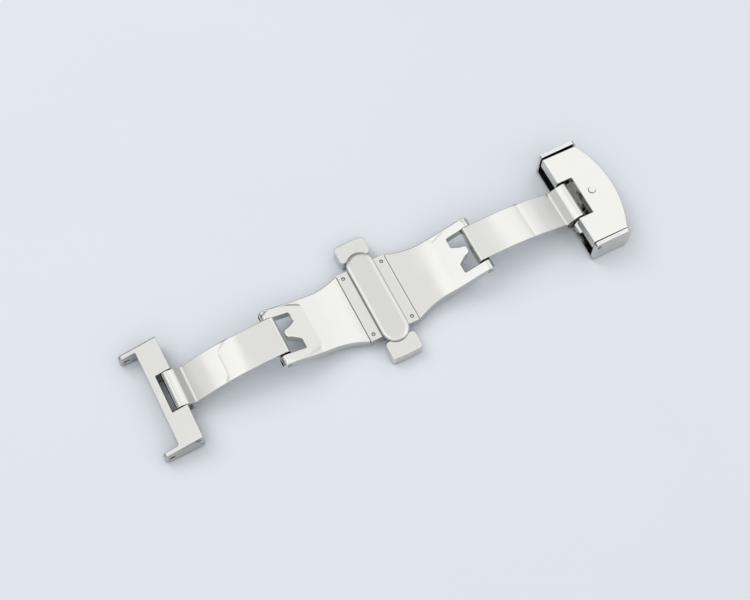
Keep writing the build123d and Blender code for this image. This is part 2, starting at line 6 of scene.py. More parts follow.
import bmesh
import bpy
import numpy as np
from bpy.props import FloatProperty, FloatVectorProperty, IntProperty, PointerProperty
from bpy.types import Operator, Panel, PropertyGroup
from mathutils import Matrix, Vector
from mathutils.geometry import delaunay_2d_cdt


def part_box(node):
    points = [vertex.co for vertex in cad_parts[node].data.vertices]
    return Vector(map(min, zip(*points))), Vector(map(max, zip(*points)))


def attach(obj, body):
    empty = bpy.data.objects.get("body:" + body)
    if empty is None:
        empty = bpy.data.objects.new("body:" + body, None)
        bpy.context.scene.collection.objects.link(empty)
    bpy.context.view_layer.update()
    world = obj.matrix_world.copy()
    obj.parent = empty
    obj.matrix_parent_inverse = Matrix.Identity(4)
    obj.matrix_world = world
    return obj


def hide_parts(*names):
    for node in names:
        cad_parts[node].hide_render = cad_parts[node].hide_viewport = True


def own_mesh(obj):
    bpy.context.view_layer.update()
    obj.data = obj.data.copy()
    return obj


bl_info = {
    "name": "Butterfly clasp",
    "version": (1, 0, 0),
    "blender": (4, 5, 0),
    "location": "View3D > Sidebar > Clasp",
    "description": "Builds a polished steel butterfly clasp and its studio",
    "category": "Object",
}

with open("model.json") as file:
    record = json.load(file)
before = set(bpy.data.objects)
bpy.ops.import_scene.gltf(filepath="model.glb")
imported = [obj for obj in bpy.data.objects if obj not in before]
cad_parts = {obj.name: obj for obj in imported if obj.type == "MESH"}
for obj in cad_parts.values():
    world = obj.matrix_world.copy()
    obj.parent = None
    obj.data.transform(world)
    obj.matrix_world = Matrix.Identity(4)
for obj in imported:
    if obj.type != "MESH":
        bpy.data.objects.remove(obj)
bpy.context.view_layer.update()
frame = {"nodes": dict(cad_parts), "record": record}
MM = 0.001

# Places of the clasp's pieces in millimetres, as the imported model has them
BASE_PIN = (18.8, 4.719)
BLADE_JOINT = 4.55
BLADE_CREASE = 12.35
BLADE_ARC = (52.15, 50.0)
BLADE_THICKNESS = 1.7
ROOT_HALF, WAIST_HALF, WAIST_X = 6.75, 5.32, 10.6
WINDOW_X, WINDOW_HALF = 14.95, 3.5
EAR_RADIUS = 1.1
STRIP_TOP = 2.357
RAIL_TOP = 2.697
COVER_HALF, COVER_REACH, COVER_THICKNESS = 2.45, 8.9, 0.55
PUSHER_HALF, PUSHER_INNER, PUSHER_OUTER = 2.8, 8.1, 11.4
PUSHER_BOTTOM, PUSHER_TOP = 0.15, 2.597
ARM_LENGTH, ARM_HALF = 18.8075, 3.42
OUTER_PINS = {-1: (-37.561, 3.4), 1: (37.603, 4.3)}
CLAMP_FRONT, CLAMP_NOTCH, CLAMP_SIDE, CLAMP_BACK = 36.853, 39.703, 43.603, 45.783
CLAMP_HALF, CLAMP_NOTCH_HALF = 9.0, 3.68
CLAMP_TOP, CLAMP_BOTTOM = 5.55, 3.45
PEG_X = 41.703
RIVET_X, RIVET_Y = 3.65, 5.7
END_HALF = 9.85
SPRING_RADIUS, SPRING_WIRE, SPRING_TURNS, SPRING_KEEP = 0.42, 0.08, 2, 0.235

# Shape of the pressed and ground faces, in millimetres
JOINT_GAP, WAIST_SLOPE = 0.025, -0.42
TONGUE = ((WINDOW_X, -1.75), (16.25, -0.95), (17.25, -0.72))
CREASE_SPAN = 0.7
BLADE_STEPS = {"right_blade": 0.04, "left_blade": 0.09}
STEP_LINE, STEP_SPAN, STEP_START, STEP_EDGE = 5.06, 0.6, 0.2, 0.1
STEP_CURL, STEP_CURL_POWER, STEP_CURL_X = 0.112, 1.55, 16.9
STEP_TAPER, STEP_TAPER_X = 0.5, 17.7
EAR_BACK = 0.44
COVER_RIM, COVER_CROWN, COVER_BEVEL, COVER_SOFTNESS = 0.65, 0.003, 0.11, 0.008
PUSHER_CROWN = 0.16
CLAMP_FALL, GROOVE_DEPTH, GROOVE_RADIUS, GROOVE_WIDTH = 0.045, 0.06, 0.58, 0.06
CREASE_VALLEYS = {1: (0.15, 0.7), -1: (0.12, 0.8)}
VALLEY_SOFTNESS = 0.0016
CREASE_X, CREASE_SLANT = 28.42, 0.042
BENT_CREASE_X, REAR_BEND, FRONT_BEND = 28.65, (2.0, 1.6, 1.8), (0.7, 2.0, 1.2)
PIN_WOBBLE, PIN_LOBES, PIN_PHASE = 0.06, 5, 1.3
NODE_EDGES = {
    "lock_housing": 0.04,
    "front_pusher": 0.05,
    "rear_pusher": 0.05,
    "strap_bar": 0.14,
    "buckle_shell": 0.09,
}

# How fine the meshes are
RIM_POINTS, CORNER_POINTS = 5, 9
SHORTEST_RUN = 0.012
ARM_LEVELS = 44
TURNED_SIDES, CIRCLE_SIDES = 40, 48
SPRING_STEPS, SPRING_SIDES = 97, 10
LATTICE_GAP = 0.45
NO_AREA = 1e-7
MERGE_DISTANCE = 1e-7
FLAT_ANGLE, EDGE_ANGLE, BROAD_ANGLE = 0.3, 28, 40

# Sizes of the patterns in the metal: scales of the noises, and reach of the edge wear with its painted
# highlight and of the painted recess shade, in metres
CLOUD_SCALE, WAVE_SCALE, PATCH_SCALE = 420, 110, 2600
WEAR_AND_GLINT_REACH, RECESS_SHADE_REACH = 0.3 * MM, 1.6 * MM
REACH_SAMPLES = 6
# Edge wear: the first adds roughness along rubbed rims; the second makes them lighter, a painted
# highlight
WEAR_ROUGHNESS, EDGE_GLINT_LIGHT = 0.1, 0.14

# Finishes: base colour and share of it, mean roughness and its spread, scales of the polishing
# lines, depths of the lines and of the waves in metres, and brightness of the upright faces, a painted
# shade
FINISHES = {
    "polished_steel": ("steel", 1, 0.10, 0.03, (70, 1500, 1500), 2e-7, 2e-4, 0.78),
    # The strap bar: the polished steel darkened to 0.84, a painted shade
    "bar_steel": ("steel", 0.84, 0.11, 0.03, (70, 1500, 1500), 2e-7, 3e-4, 0.78),
    # Steel darkened to 0.36: painted shade on the catches and the buckle's hinge pin deep in the slots,
    # and the tone of the staked pin ends
    "dark_steel": ("steel", 0.36, 0.25, 0.05, (70, 1500, 1500), 2e-7, 1e-5, 0.78),
    "pusher_steel": ("steel", 1, 0.15, 0.04, (1500, 90, 1500), 2e-7, 1.5e-4, 0.82),
    "satin_steel": ("satin", 1, 0.15, 0.03, (1800, 120, 1800), 6e-7, 1.5e-4, 0.78),
    "pin_steel": ("pin", 1, 0.30, 0.08, (2200, 2200, 2200), 2e-6, 1e-5, 0.78),
    "spring_steel": ("pin", 1, 0.25, 0.05, (2200, 2200, 2200), 1e-6, 1e-5, 0.78),
}

# Studio: middle of the view, table, wall, lamp, and the light against each coordinate of the
# direction, as pairs of place from -1 to 1 and level
VIEW_MIDDLE = Vector((-0.309, 0.284, 0.919)) * MM
TABLE_REACH, TABLE_DARK, TABLE_LIGHT = 2.0, 0.985, 1.015
WALL_SHARE, STUDIO_LIGHT = 0.95, 1.05
LAMP_PLACE, LAMP_SIZE, LAMP_POWER = Vector((-0.30, 0.60, 0.80)), 0.8, 2.45
ALONG_STOPS = (
    (-1, 0.42),
    (-0.72, 0.62),
    (-0.56, 0.78),
    (-0.42, 1.0),
    (-0.2, 1.04),
    (-0.12, 0.83),
    (0.2, 0.83),
    (0.29, 0.85),
    (0.385, 1.02),
    (0.45, 1.0),
    (0.52, 0.97),
    (0.6, 0.93),
    (0.68, 0.88),
    (0.76, 0.74),
    (1, 0.5),
)
ACROSS_STOPS = ((-1, 0.6), (-0.6, 1.15), (0.0, 1.06), (0.45, 1), (0.65, 0.45), (1, 0.12))
HEIGHT_STOPS = ((-0.1, 0.12), (0.1, 0.2), (0.3, 0.68), (0.54, 1), (1, 1))


class ClaspSizes(PropertyGroup):
    """Sizes that a user would change, in metres."""

    edge_round: FloatProperty(
        name="Edge round",
        description="Radius of the polished edges of the plates",
        default=0.2 * MM,
        unit="LENGTH",
    )
    edge_steps: IntProperty(
        name="Edge steps", description="Facets across a polished edge", default=3
    )


class ClaspFinish(PropertyGroup):
    """Colours of the metals."""

    steel: FloatVectorProperty(
        name="Polished steel",
        description="Reflected colour of the polished plates",
        default=(0.845, 0.84, 0.82),
        subtype="COLOR",
    )
    satin: FloatVectorProperty(
        name="Satin steel",
        description="Reflected colour of the cover plate",
        default=(0.795, 0.79, 0.775),
        subtype="COLOR",
    )
    pin: FloatVectorProperty(
        name="Pin steel",
        description="Reflected colour of pins, rivets and spring",
        default=(0.58, 0.57, 0.55),
        subtype="COLOR",
    )


class ClaspStage(PropertyGroup):
    """Camera and floor."""

    floor: FloatVectorProperty(
        name="Floor",
        description="Colour of the table",
        default=(0.805, 0.853, 0.91),
        subtype="COLOR",
    )
    distance: FloatProperty(
        name="Camera distance",
        description="From the camera to the middle of the view",
        default=239.08 * MM,
        unit="LENGTH",
    )
    azimuth: FloatProperty(
        name="Azimuth", description="Turn of the camera round the clasp", default=-27.05
    )
    elevation: FloatProperty(
        name="Elevation", description="Height of the camera as an angle", default=66.78
    )
    focal: FloatProperty(
        name="Lens", description="Focal length on a 36 mm sensor, in millimetres", default=67.2
    )


def add(tree, kind, values=(), **settings):
    """Adds one shader node, with its settings and the values of its input sockets."""
    node = tree.nodes.new(kind)
    for key, value in settings.items():
        setattr(node, key, value)
    for key, value in dict(values).items():
        node.inputs[key].default_value = value
    return node


def join(tree, source, output, target, socket):
    """Links an output socket to an input socket."""
    tree.links.new(source.outputs[output], target.inputs[socket])


def blank_material(name):
    """A material with a Principled shader, and its node tree."""
    material = bpy.data.materials.new(name)
    material.use_nodes = True
    return material, material.node_tree, material.node_tree.nodes["Principled BSDF"]


def product(tree, first, second):
    """A node that multiplies two output sockets."""
    node = add(tree, "ShaderNodeMath", operation="MULTIPLY")
    tree.links.new(first, node.inputs[0])
    tree.links.new(second, node.inputs[1])
    return node


def edge_wear_and_glint(tree, place):
    """How much the polish is rubbed, from 0 to 1, for both edge wear and a painted highlight: where the
    solid is thin, as along an edge, in patches.
    """
    rim = add(
        tree,
        "ShaderNodeAmbientOcclusion",
        {"Distance": WEAR_AND_GLINT_REACH},
        samples=REACH_SAMPLES,
        inside=True,
        only_local=True,
    )
    patches = add(tree, "ShaderNodeTexNoise", {"Scale": PATCH_SCALE, "Detail": 2})
    broken = add(tree, "ShaderNodeMapRange", {"From Min": 0.35, "From Max": 0.6})
    near = add(
        tree,
        "ShaderNodeMapRange",
        {"From Min": 0.5, "From Max": 0.92, "To Min": 1, "To Max": 0},
    )
    join(tree, place, "Object", patches, "Vector")
    join(tree, patches, "Fac", broken, "Value")
    join(tree, rim, "AO", near, "Value")
    return product(tree, near.outputs["Result"], broken.outputs["Result"])


def shade(tree, place, clouds, side):
    """How bright the metal is beside its own colour: its upright faces are darker by the side share, as
    painted shade; the clouds mottle it a little; and recesses are darkened, out to a set reach, as
    painted shade."""
    parts = add(tree, "ShaderNodeSeparateXYZ")
    # Painted shade: upright faces are darkened to the side share
    upright = add(tree, "ShaderNodeMapRange", {"From Min": 0.25, "From Max": 0.6, "To Min": side})
    mottle = add(tree, "ShaderNodeMapRange", {"From Min": 0.3, "From Max": 0.7, "To Min": 0.98})
    # Painted shade: an ambient occlusion node darkens recesses and the gaps between parts, down to 0.12
    # of the colour
    recess = add(
        tree, "ShaderNodeAmbientOcclusion", {"Distance": RECESS_SHADE_REACH}, samples=REACH_SAMPLES
    )
    recess_shade = add(tree, "ShaderNodeMapRange", {"From Min": 0.2, "From Max": 0.65, "To Min": 0.12})
    join(tree, place, "Normal", parts, "Vector")
    join(tree, parts, "Z", upright, "Value")
    join(tree, clouds, "Fac", mottle, "Value")
    join(tree, recess, "AO", recess_shade, "Value")
    mottled = product(tree, upright.outputs["Result"], mottle.outputs["Result"])
    return product(tree, mottled.outputs["Value"], recess_shade.outputs["Result"])


def metal(name, colour, gloss, spread, grain, grain_depth, wave_depth, side):
    """Steel: gloss is the mean roughness and spread its change. Grain holds the scales of the fine
    polishing lines, which run along the axis with the lowest. A broad, very shallow wave bends the
    reflections as on pressed and polished sheet. Side is how bright the upright faces are, which is
    painted shade. Along rubbed rims the metal is rougher from wear, and lighter as a painted highlight."""
    tree, shader = blank_material(name + "_finish")[1:]
    shader.inputs["Metallic"].default_value = 1
    place = add(tree, "ShaderNodeTexCoord")
    stretch = add(tree, "ShaderNodeMapping", {"Scale": grain})
    lines = add(tree, "ShaderNodeTexNoise", {"Scale": 1, "Detail": 4, "Roughness": 0.6})
    clouds = add(tree, "ShaderNodeTexNoise", {"Scale": CLOUD_SCALE, "Detail": 3})
    waves = add(tree, "ShaderNodeTexNoise", {"Scale": WAVE_SCALE, "Detail": 1})
    join(tree, place, "Object", stretch, "Vector")
    join(tree, stretch, "Vector", lines, "Vector")
    join(tree, place, "Object", clouds, "Vector")
    join(tree, place, "Object", waves, "Vector")
    blend = add(tree, "ShaderNodeMath", operation="ADD")
    span = add(
        tree,
        "ShaderNodeMapRange",
        {"From Min": 0.7, "From Max": 1.3, "To Min": gloss - spread, "To Max": gloss + spread},
    )
    wear_glint_mask = edge_wear_and_glint(tree, place)
    rougher = add(tree, "ShaderNodeMath", {1: WEAR_ROUGHNESS}, operation="MULTIPLY_ADD")
    join(tree, lines, "Fac", blend, 0)
    join(tree, clouds, "Fac", blend, 1)
    join(tree, blend, "Value", span, "Value")
    join(tree, wear_glint_mask, "Value", rougher, 0)
    join(tree, span, "Result", rougher, 2)
    join(tree, rougher, "Value", shader, "Roughness")
    low = add(tree, "ShaderNodeBump", {"Strength": 1, "Distance": wave_depth})
    fine = add(tree, "ShaderNodeBump", {"Strength": 1, "Distance": grain_depth})
    join(tree, waves, "Fac", low, "Height")
    join(tree, lines, "Fac", fine, "Height")
    join(tree, low, "Normal", fine, "Normal")
    join(tree, fine, "Normal", shader, "Normal")
    # Painted highlight: the rubbed rims are made lighter
    lighter = add(tree, "ShaderNodeMath", {1: EDGE_GLINT_LIGHT, 2: 1}, operation="MULTIPLY_ADD")
    join(tree, wear_glint_mask, "Value", lighter, 0)
    level = product(tree, shade(tree, place, clouds, side).outputs["Value"], lighter.outputs["Value"])
    tint = add(tree, "ShaderNodeVectorMath", {0: colour}, operation="SCALE")
    join(tree, level, "Value", tint, "Scale")
    join(tree, tint, "Vector", shader, "Base Color")


def metals():
    """The finishes by name, made once. In the file their names end in _finish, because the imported
    model brings plain materials that are named as the record's slots are."""
    colours = bpy.context.scene.clasp_finish
    for name, (colour, share, *settings) in FINISHES.items():
        if name + "_finish" not in bpy.data.materials:
            metal(name, [c * share for c in getattr(colours, colour)], *settings)
    return {name: bpy.data.materials[name + "_finish"] for name in FINISHES}


def wear(piece, slot, body, finish=None):
    """Gives a piece its finish, named by the record's slot unless another finish is given, and the body
    that it rides on.
    """
    piece.data.materials.clear()
    piece.data.materials.append(metals()[finish or slot])
    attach(piece, body)


def show(name, data):
    """An object in the scene that holds the given mesh, camera or lamp."""
    item = bpy.data.objects.new(name, data)
    bpy.context.scene.collection.objects.link(item)
    return item


def aim(item, towards):
    """Turns a camera or lamp so that it looks along a direction."""
    item.rotation_mode = "QUATERNION"
    item.rotation_quaternion = towards.to_track_quat("-Z", "Y")


def wrapped_quads(rows, columns):
    """Quads between neighbouring rows of points, each row a closed loop."""
    index = np.arange(rows * columns).reshape(rows, columns)
    after = np.roll(index, -1, axis=1)
    return np.stack([index[:-1], after[:-1], after[1:], index[1:]], axis=2).reshape(-1, 4)


def rounded_loop(points, radii, step=0.12):
    """A closed outline in millimetres: corners of a polygon, listed anticlockwise, each replaced by
    an arc that is tangent to both of its sides, and the runs between cut into equal short lengths."""
    points = np.asarray(points, float)
    radii = np.asarray(radii, float)
    before = np.roll(points, 1, axis=0) - points
    after = np.roll(points, -1, axis=0) - points
    before /= np.linalg.norm(before, axis=1)[:, None]
    after /= np.linalg.norm(after, axis=1)[:, None]
    half = np.arccos(np.clip((before * after).sum(axis=1), -1, 1)) / 2
    reach = radii / np.tan(half)
    middle = before + after
    middle /= np.maximum(np.linalg.norm(middle, axis=1), 1e-9)[:, None]
    centre = points + middle * (radii / np.sin(half))[:, None]
    share = np.linspace(0, 1, CORNER_POINTS)[None, :, None]
    first = (points + before * reach[:, None] - centre)[:, None, :]
    last = (points + after * reach[:, None] - centre)[:, None, :]
    turn = (pi - 2 * half)[:, None, None]
    weight = np.maximum(np.sin(turn), 1e-9)
    arcs = (np.sin((1 - share) * turn) * first + np.sin(share * turn) * last) / weight
    corners = (centre[:, None, :] + arcs).reshape(-1, 2)
    return resample(corners, step)


def resample(loop, step):
    """Adds points to a closed outline so that no run is longer than the step."""
    ahead = np.roll(loop, -1, axis=0) - loop
    length = np.linalg.norm(ahead, axis=1)
    keep = length > SHORTEST_RUN
    loop, ahead, length = loop[keep], ahead[keep], length[keep]
    pieces = np.maximum(1, np.ceil(length / step)).astype(int)
    start = np.repeat(np.arange(len(loop)), pieces)
    order = np.arange(len(start)) - np.repeat(np.cumsum(pieces) - pieces, pieces)
    return loop[start] + ahead[start] * (order / pieces[start])[:, None]


def loop_normals(loop):
    """Outward unit normals of an anticlockwise outline, from the points on both sides."""
    along = np.roll(loop, -1, axis=0) - np.roll(loop, 1, axis=0)
    along /= np.linalg.norm(along, axis=1)[:, None]
    return np.stack([along[:, 1], -along[:, 0]], axis=1)


def even(level):
    """A height field that is the same all over."""
    return lambda x, y: level + 0 * x


def slope_normals(height, points, spread=0.02):
    """Unit normals of a height field at plan points, from differences over a short span."""
    x, y = points[:, 0], points[:, 1]
    dx = (height(x + spread, y) - height(x - spread, y)) / (2 * spread)
    dy = (height(x, y + spread) - height(x, y - spread)) / (2 * spread)
    normal = np.stack([-dx, -dy, np.ones_like(dx)], axis=1)
    return normal / np.linalg.norm(normal, axis=1)[:, None]


def cap(ring, spacing, rings=None):
    """Triangles that fill an outline, over a square lattice of inner points, and those points. Where
    a round detail is given, by its centre and radii, circles of points replace the lattice there.
    Also gives the place in the outline that each point comes from, and -1 or more than its length
    for the inner points."""
    low, high = ring.min(axis=0), ring.max(axis=0)
    x = np.arange(low[0] + spacing / 2, high[0], spacing)
    y = np.arange(low[1] + spacing / 2, high[1], spacing)
    lattice = np.stack(np.meshgrid(x, y, indexing="ij"), axis=2).reshape(-1, 2)
    inside = within(lattice, ring)
    gap = np.min(np.linalg.norm(lattice[:, None, :] - ring[None, :, :], axis=2), axis=1)
    lattice = lattice[inside & (gap > spacing * LATTICE_GAP)]
    if rings is not None:
        centre, radii = np.asarray(rings[0]), np.asarray(rings[1])
        clear = np.linalg.norm(lattice - centre, axis=1) > radii.max() + spacing * LATTICE_GAP
        angle = np.linspace(0, 2 * pi, CIRCLE_SIDES, endpoint=False)
        circle = np.stack([np.cos(angle), np.sin(angle)], axis=1)
        circles = centre + (radii[:, None, None] * circle[None]).reshape(-1, 2)
        lattice = np.concatenate([lattice[clear], circles])
    index = np.arange(len(ring))
    edges = np.stack([index, (index + 1) % len(ring)], axis=1)
    every = np.concatenate([ring, lattice])
    result = delaunay_2d_cdt([Vector(p) for p in every.tolist()], edges.tolist(), [], 0, MERGE_DISTANCE)
    corners = np.asarray([tuple(p) for p in result[0]])
    faces = np.asarray(result[2])
    source = np.asarray([min(given, default=-1) for given in result[3]])
    good = within(corners[faces].mean(axis=1), ring)
    a, b, c = (corners[faces[:, k]] for k in range(3))
    area = (b - a)[:, 0] * (c - a)[:, 1] - (b - a)[:, 1] * (c - a)[:, 0]
    faces[area < -NO_AREA] = faces[area < -NO_AREA][:, ::-1]
    slivers = np.abs(area) < NO_AREA
    good &= ~slivers
    for sliver in np.flatnonzero(slivers):
        swap_sliver(corners, faces, good, sliver)
    return corners, faces[good], source


def swap_sliver(corners, faces, good, sliver):
    """Three points of a straight side can make a triangle without area. Its middle point is joined
    to the far corner of the triangle beside it, which gives two sound triangles instead."""
    ends = faces[sliver]
    lengths = np.linalg.norm(corners[ends] - corners[np.roll(ends, -1)], axis=1)
    first, last, middle = np.roll(ends, -np.argmax(lengths))
    beside = np.flatnonzero(good & (np.isin(faces, (first, last)).sum(axis=1) == 2))
    if len(beside) == 1:
        far = next(corner for corner in faces[beside[0]] if corner not in (first, last))
        faces[beside[0]] = (last, middle, far)
        faces[sliver] = (middle, first, far)
        good[sliver] = True


def within(points, loop):
    """Which points lie inside an outline, by counting the sides that a ray to +X crosses."""
    ahead = np.roll(loop, -1, axis=0)
    x, y = points[:, 0][:, None], points[:, 1][:, None]
    spans = (loop[:, 1] > y) != (ahead[:, 1] > y)
    run = ahead[:, 1] - loop[:, 1]
    cross = (ahead[:, 0] - loop[:, 0]) * (y - loop[:, 1]) / np.where(run == 0, 1, run) + loop[:, 0]
    return (np.sum(spans & (x < cross), axis=1) % 2) == 1


def plate_surface(loop, top, bottom, edge, under=0.05, spacing=0.4, levels=2, rings=None):
    """Points, faces and normals of a plate with polished edges. Its section, two quarter circles
    joined by a straight side, is carried along the outline, each point moved in along the outline's
    normal; two triangulated height fields, top and bottom, close it."""
    outward = loop_normals(loop)
    angle = np.linspace(0, pi / 2, RIM_POINTS)
    insets = np.concatenate([under * (1 - np.cos(angle[::-1])), edge * (1 - np.cos(angle))])
    drops = np.concatenate([under * (1 - np.sin(angle[::-1])), edge * (1 - np.sin(angle))])
    tilts = np.concatenate([-angle[::-1], angle])
    at_top = np.repeat([False, True], RIM_POINTS)
    middle = np.linspace(0, 1, levels + 1)[1:-1]
    plan = loop[None] - insets[:, None, None] * outward[None]
    flat = plan.reshape(-1, 2)
    high = top(flat[:, 0], flat[:, 1]).reshape(plan.shape[:2]) - drops[:, None]
    low = bottom(flat[:, 0], flat[:, 1]).reshape(plan.shape[:2]) + drops[:, None]
    level = np.where(at_top[:, None], high, low)
    up = slope_normals(top, loop)
    down = -slope_normals(bottom, loop)
    side = np.concatenate([outward, np.zeros((len(loop), 1))], axis=1)
    lean = np.where(at_top[:, None, None], up[None], down[None])
    normal = np.cos(tilts)[:, None, None] * side + np.abs(np.sin(tilts))[:, None, None] * lean
    grid_rows = np.concatenate([plan, level[:, :, None]], axis=2)
    lower, upper = slice(0, RIM_POINTS), slice(RIM_POINTS, None)
    below, above = grid_rows[RIM_POINTS - 1], grid_rows[RIM_POINTS]
    between = below[None] + middle[:, None, None] * (above - below)[None]
    beside = np.repeat(side[None], len(middle), 0)
    grid_rows = np.concatenate([grid_rows[lower], between, grid_rows[upper]])
    normal = np.concatenate([normal[lower], beside, normal[upper]])
    rows, columns = grid_rows.shape[:2]
    points, normals = [grid_rows.reshape(-1, 3)], [normal.reshape(-1, 3)]
    faces = [wrapped_quads(rows, columns).tolist()]
    first = rows * columns
    ends = ((grid_rows[-1], first - columns, top, 1), (grid_rows[0], 0, bottom, -1))
    for ring, start, height, sign in ends:
        corners, fill, source = cap(ring[:, :2], spacing, rings if sign > 0 else None)
        inner = (source < 0) | (source >= columns)
        place = start + source
        place[inner] = first + np.arange(inner.sum())
        heights = height(corners[:, 0], corners[:, 1])
        points.append(np.column_stack([corners, heights])[inner])
        normals.append(sign * slope_normals(height, corners)[inner])
        faces.append(place[fill[:, ::sign]].tolist())
        first += inner.sum()
    return np.concatenate(points), sum(faces, []), np.concatenate(normals)


def plate(name, *shape, **settings):
    """A plate that lies in the XY plane, as an object."""
    return solid(name, *plate_surface(*shape, **settings))


def solid(name, points, faces, normals=None):
    """A mesh object from points in millimetres, with its own smooth normals where they are given."""
    mesh = bpy.data.meshes.new(name)
    mesh.from_pydata((points * MM).tolist(), [], faces)
    mesh.polygons.foreach_set("use_smooth", [True] * len(mesh.polygons))
    if normals is not None:
        lengths = np.maximum(np.linalg.norm(normals, axis=1), 1e-9)
        mesh.normals_split_custom_set_from_vertices((normals / lengths[:, None]).tolist())
    return show(name, mesh)


def turned_on_axis(name, profile, centres, axis="Z", wobble=None):
    """Surfaces of revolution about axes through the centres: a profile of radius and height pairs
    is carried round a full circle. A wobble, a function of angle and radius, is added to height."""
    profile = np.asarray(profile, float)
    angle = np.linspace(0, 2 * pi, TURNED_SIDES, endpoint=False)
    radius = profile[:, 0][:, None] * np.ones(TURNED_SIDES)
    height = profile[:, 1][:, None] * np.ones(TURNED_SIDES)
    if wobble is not None:
        height = height + wobble(angle[None, :], radius)
    x, y = radius * np.cos(angle), radius * np.sin(angle)
    ring = np.stack([x, y, height], axis=2).reshape(-1, 3)
    if axis == "-Y":
        ring = np.column_stack([ring[:, 0], -ring[:, 2], ring[:, 1]])
    if axis == "+Y":
        ring = np.column_stack([-ring[:, 0], ring[:, 2], ring[:, 1]])
    quads = wrapped_quads(len(profile), TURNED_SIDES)
    points = (np.asarray(centres, float)[:, None, :] + ring[None]).reshape(-1, 3)
    shift = np.arange(len(centres))[:, None, None] * len(ring)
    faces = (quads[None] + shift).reshape(-1, 4).tolist()
    piece = solid(name, points, faces)
    work = bmesh.new()
    work.from_mesh(piece.data)
    bmesh.ops.remove_doubles(work, verts=work.verts, dist=MERGE_DISTANCE)
    bmesh.ops.holes_fill(work, edges=work.edges, sides=0)
    bmesh.ops.recalc_face_normals(work, faces=work.faces)
    work.to_mesh(piece.data)
    work.free()
    return piece


def body_of(node):
    """The body that a CAD node rides on."""
    bodies = frame["record"]["behaviour"]["bodies"]
    return next(body for body, nodes in bodies.items() if node in nodes)


def slot_of(node):
    """The record's material slot of a CAD node."""
    return next(
        part["material_slot"] for part in frame["record"]["subparts"] if part["node"] == node
    )


def polished_copy(node, clamp=False, finish=None):
    """A finished form of a CAD node: its triangles are merged, flat ones are joined, every edge
    sharper than a set angle is rounded, and the broad faces keep their own normals."""
    mesh = bpy.data.meshes.new(node + "_polished")
    work = bmesh.new()
    work.from_mesh(frame["nodes"][node].data)
    bmesh.ops.remove_doubles(work, verts=work.verts, dist=MERGE_DISTANCE)
    flat = radians(FLAT_ANGLE)
    bmesh.ops.dissolve_limit(work, angle_limit=flat, verts=work.verts, edges=work.edges)
    for face in work.faces:
        face.smooth = True
    work.to_mesh(mesh)
    work.free()
    piece = show(node + "_polished", mesh)
    bevel = piece.modifiers.new("edges", "BEVEL")
    bevel.width = NODE_EDGES[node] * MM
    bevel.segments = bpy.context.scene.clasp_sizes.edge_steps
    bevel.limit_method = "ANGLE"
    bevel.angle_limit = radians(EDGE_ANGLE)
    bevel.use_clamp_overlap = clamp
    graph = bpy.context.evaluated_depsgraph_get()
    piece.data = bpy.data.meshes.new_from_object(piece.evaluated_get(graph))
    piece.modifiers.clear()
    broad_normals(piece.data)
    wear(piece, slot_of(node), body_of(node), finish)
    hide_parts(node)
    return piece


def broad_normals(mesh):
    """Gives each corner of a mesh the mean normal of the faces that meet there, weighted by area and
    only of those within a set angle of the corner's own face, so that flat faces stay flat."""
    count = len(mesh.polygons)
    normal, area, sides = np.empty(count * 3), np.empty(count), np.empty(count, int)
    corner = np.empty(len(mesh.loops), int)
    mesh.polygons.foreach_get("normal", normal)
    mesh.polygons.foreach_get("area", area)
    mesh.polygons.foreach_get("loop_total", sides)
    mesh.loops.foreach_get("vertex_index", corner)
    normal = normal.reshape(-1, 3)
    face = np.repeat(np.arange(count), sides)
    order = np.argsort(corner, kind="stable")
    shared = np.bincount(corner, minlength=len(mesh.vertices))
    start = (np.cumsum(shared) - shared)[corner]
    size = shared[corner]
    mine = np.repeat(np.arange(len(corner)), size)
    step = np.arange(len(mine)) - np.repeat(np.cumsum(size) - size, size)
    other = order[np.repeat(start, size) + step]
    near = (normal[face[mine]] * normal[face[other]]).sum(axis=1) > cos(radians(BROAD_ANGLE))
    total = np.zeros((len(corner), 3))
    np.add.at(total, mine, normal[face[other]] * (area[face[other]] * near)[:, None])
    total /= np.maximum(np.linalg.norm(total, axis=1), 1e-12)[:, None]
    mesh.normals_split_custom_set(total.tolist())


def smooth_step(t):
    """A rise from 0 to 1 with level ends."""
    t = np.clip(t, 0, 1)
    return t * t * (3 - 2 * t)


def ear_rise(x):
    """Half the height of an ear's round at a distance x from the middle: a circle about the pin."""
    return np.sqrt(np.maximum(EAR_RADIUS**2 - (x - BASE_PIN[0]) ** 2, 1e-4))


def blade_surface(x, y, step):
    """Upper face of a blade at a distance x from the middle: an arc, then a straight ramp that is
    tangent to the ear's round, with the crease between them rounded, and a low step along each ear,
    whose line curls in towards the crease as a power of the distance and tapers at the pin."""
    centre, radius = BLADE_ARC
    arc = centre - np.sqrt(radius**2 - x**2)
    crease_z = centre - np.sqrt(radius**2 - BLADE_CREASE**2)
    run, rise = BASE_PIN[0] - BLADE_CREASE, BASE_PIN[1] - crease_z
    reach = np.hypot(run, rise)
    slope = np.tan(np.arcsin(rise / reach) + np.arcsin(EAR_RADIUS / reach))
    ramp = crease_z + slope * (x - BLADE_CREASE)
    blend = smooth_step((x - BLADE_CREASE + CREASE_SPAN / 2) / CREASE_SPAN)
    surface = arc + (ramp - arc) * blend
    round_x = BASE_PIN[0] - EAR_RADIUS * np.sin(np.arctan(slope))
    surface = np.where(x > round_x, BASE_PIN[1] + ear_rise(x), surface)
    curl = STEP_CURL * np.maximum(STEP_CURL_X - x, 0) ** STEP_CURL_POWER
    line = STEP_LINE - curl - STEP_TAPER * np.maximum(x - STEP_TAPER_X, 0)
    inner = smooth_step((x - BLADE_CREASE + STEP_START) / STEP_SPAN)
    return surface - step * inner * smooth_step((np.abs(y) - line + STEP_EDGE) / STEP_SPAN)


